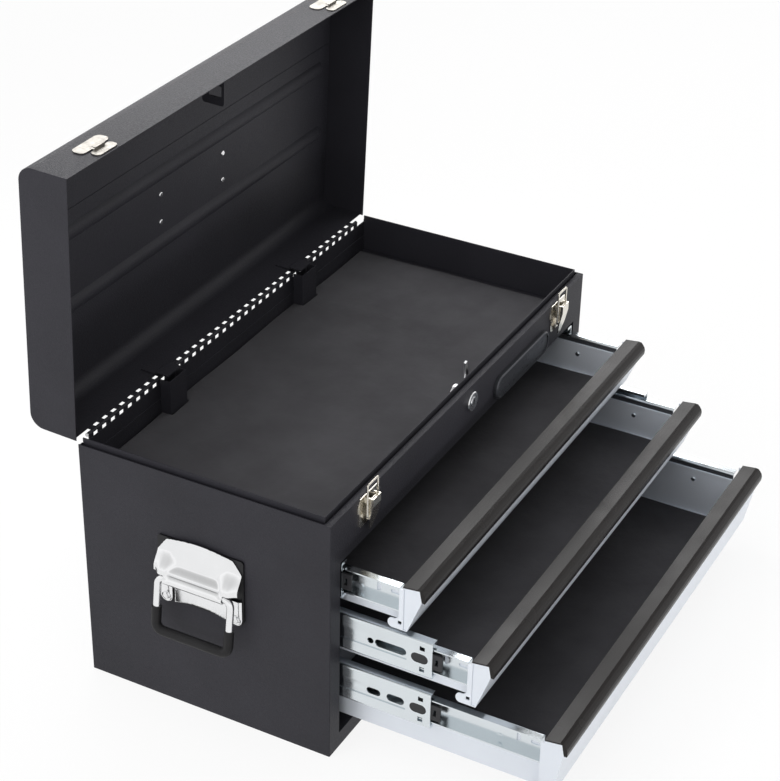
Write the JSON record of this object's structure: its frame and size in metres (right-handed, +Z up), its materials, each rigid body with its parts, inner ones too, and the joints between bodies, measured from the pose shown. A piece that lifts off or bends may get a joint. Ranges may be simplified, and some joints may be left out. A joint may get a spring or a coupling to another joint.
{
  "type": "drawer tool box",
  "caption": "Steel tool box with a hinged lid over a lined top tray, drawers on two-stage slides, draw latches, a cam lock and folding carry handles.",
  "frame": {"origin": "on the floor under the middle of the cabinet", "axes": "+X right seen from the front, front faces -Y, +Z up"},
  "size_m": [0.5806, 0.5413, 0.5202],
  "materials": {
    "black_coat": "fine textured powder coat, satin",
    "liner_foam": "matt foam sheet",
    "silver_coat": "silver paint, satin",
    "zinc": "bright zinc plate",
    "black_plastic": "matt",
    "pull_black": "satin",
    "plate_black": "satin, bare",
    "nickel": "nickel plate",
    "bright_chrome": "polished",
    "steel": "plain",
    "grip_black": "satin sleeve"
  },
  "bodies": {
    "cabinet": {"side_left": "black_coat", "side_right": "black_coat", "back_panel": "black_coat", "base_pan": "black_coat", "front_panel": "black_coat", "top_tray": "black_coat", "tray_mat": "liner_foam", "slide_uprights": "black_coat", "hinge_leaf_box": "black_coat", "hinge_pin": "steel", "lid_stop_channels": "black_coat", "nameplate": "plate_black", "lock_housing": "bright_chrome", "latch_bases": "nickel", "side_handle_backs": "black_plastic", "side_handle_rivets": "bright_chrome", "side_handle_plate_left": "bright_chrome", "side_handle_plate_right": "bright_chrome", "cabinet_rails_1": "zinc", "cabinet_rails_2": "zinc", "cabinet_rails_3": "zinc"},
    "lid": {"lid_shell": "black_coat", "hinge_leaf_lid": "black_coat", "lid_stop_tabs": "black_coat", "lid_striker": "black_coat", "lid_keepers": "nickel", "lid_handle_mounts": "bright_chrome", "lid_handle_rivets": "bright_chrome"},
    "lid_handle": {"lid_handle_bail": "bright_chrome", "lid_handle_grip": "grip_black"},
    "lock": {"lock_cylinder": "bright_chrome", "lock_cam": "steel", "lock_nut": "bright_chrome"},
    "side_handle_left": {"side_handle_bail_left": "bright_chrome", "side_handle_grip_left": "grip_black"},
    "latch_lever_left": {"latch_lever_left": "nickel"},
    "latch_bail_left": {"latch_bail_left": "nickel"},
    "side_handle_right": {"side_handle_bail_right": "bright_chrome", "side_handle_grip_right": "grip_black"},
    "latch_lever_right": {"latch_lever_right": "nickel"},
    "latch_bail_right": {"latch_bail_right": "nickel"},
    "slide_middle_1": {"middle_rails_1": "zinc", "slide_cages_1": "black_plastic"},
    "drawer_1": {"drawer_tray_1": "silver_coat", "drawer_pull_1": "pull_black", "drawer_mat_1": "liner_foam", "drawer_rails_1": "zinc"},
    "slide_middle_2": {"middle_rails_2": "zinc", "slide_cages_2": "black_plastic"},
    "drawer_2": {"drawer_tray_2": "silver_coat", "drawer_pull_2": "pull_black", "drawer_mat_2": "liner_foam", "drawer_rails_2": "zinc"},
    "slide_middle_3": {"middle_rails_3": "zinc", "slide_cages_3": "black_plastic"},
    "drawer_3": {"drawer_tray_3": "silver_coat", "drawer_pull_3": "pull_black", "drawer_mat_3": "liner_foam", "drawer_rails_3": "zinc"}
  },
  "joints": [
    {"name": "lid_hinge", "type": "hinge", "parent": "cabinet", "child": "lid", "pos_m": [0, 0.1321, 0.2543], "axis": [-1, 0, 0], "range_deg": [-88, 0]},
    {"name": "lid_handle_swing", "type": "hinge", "parent": "lid", "child": "lid_handle", "pos_m": [0, 0.18385, 0.38829], "axis": [1, 0, 0], "range_deg": [0, 90]},
    {"name": "lock_turn", "type": "hinge", "parent": "cabinet", "child": "lock", "pos_m": [0.003, -0.116, 0.2375], "axis": [0, -1, 0], "range_deg": [0, 55]},
    {"name": "side_handle_left_swing", "type": "hinge", "parent": "cabinet", "child": "side_handle_left", "pos_m": [-0.278, 0.002, 0.15], "axis": [0, 1, 0], "range_deg": [0, 82]},
    {"name": "latch_lever_left_swing", "type": "hinge", "parent": "cabinet", "child": "latch_lever_left", "pos_m": [-0.2, -0.136, 0.2486], "axis": [-1, 0, 0], "range_deg": [0, 100]},
    {"name": "latch_bail_left_swing", "type": "hinge", "parent": "latch_lever_left", "child": "latch_bail_left", "pos_m": [-0.2, -0.135, 0.2326], "axis": [-1, 0, 0], "range_deg": [-90, 0]},
    {"name": "side_handle_right_swing", "type": "hinge", "parent": "cabinet", "child": "side_handle_right", "pos_m": [0.278, 0.002, 0.15], "axis": [0, -1, 0], "range_deg": [0, 82]},
    {"name": "latch_lever_right_swing", "type": "hinge", "parent": "cabinet", "child": "latch_lever_right", "pos_m": [0.2, -0.136, 0.2486], "axis": [-1, 0, 0], "range_deg": [0, 100]},
    {"name": "latch_bail_right_swing", "type": "hinge", "parent": "latch_lever_right", "child": "latch_bail_right", "pos_m": [0.2, -0.135, 0.2326], "axis": [-1, 0, 0], "range_deg": [-90, 0]},
    {"name": "slide_middle_1_slide", "type": "slide", "parent": "cabinet", "child": "slide_middle_1", "axis": [0, -1, 0], "range_m": [-0.0095, 0.0905]},
    {"name": "drawer_1_slide", "type": "slide", "parent": "slide_middle_1", "child": "drawer_1", "axis": [0, -1, 0], "range_m": [-0.0505, 0.0615]},
    {"name": "slide_middle_2_slide", "type": "slide", "parent": "cabinet", "child": "slide_middle_2", "axis": [0, -1, 0], "range_m": [-0.1, 0]},
    {"name": "drawer_2_slide", "type": "slide", "parent": "slide_middle_2", "child": "drawer_2", "axis": [0, -1, 0], "range_m": [-0.028, 0.084]},
    {"name": "slide_middle_3_slide", "type": "slide", "parent": "cabinet", "child": "slide_middle_3", "axis": [0, -1, 0], "range_m": [-0.1, 0]},
    {"name": "drawer_3_slide", "type": "slide", "parent": "slide_middle_3", "child": "drawer_3", "axis": [0, -1, 0], "range_m": [-0.1, 0.012]}
  ],
  "couplings": [
    {"joint": "latch_bail_left_swing", "follows": "latch_lever_left_swing", "ratio": -0.9},
    {"joint": "latch_bail_right_swing", "follows": "latch_lever_right_swing", "ratio": -0.9}
  ]
}
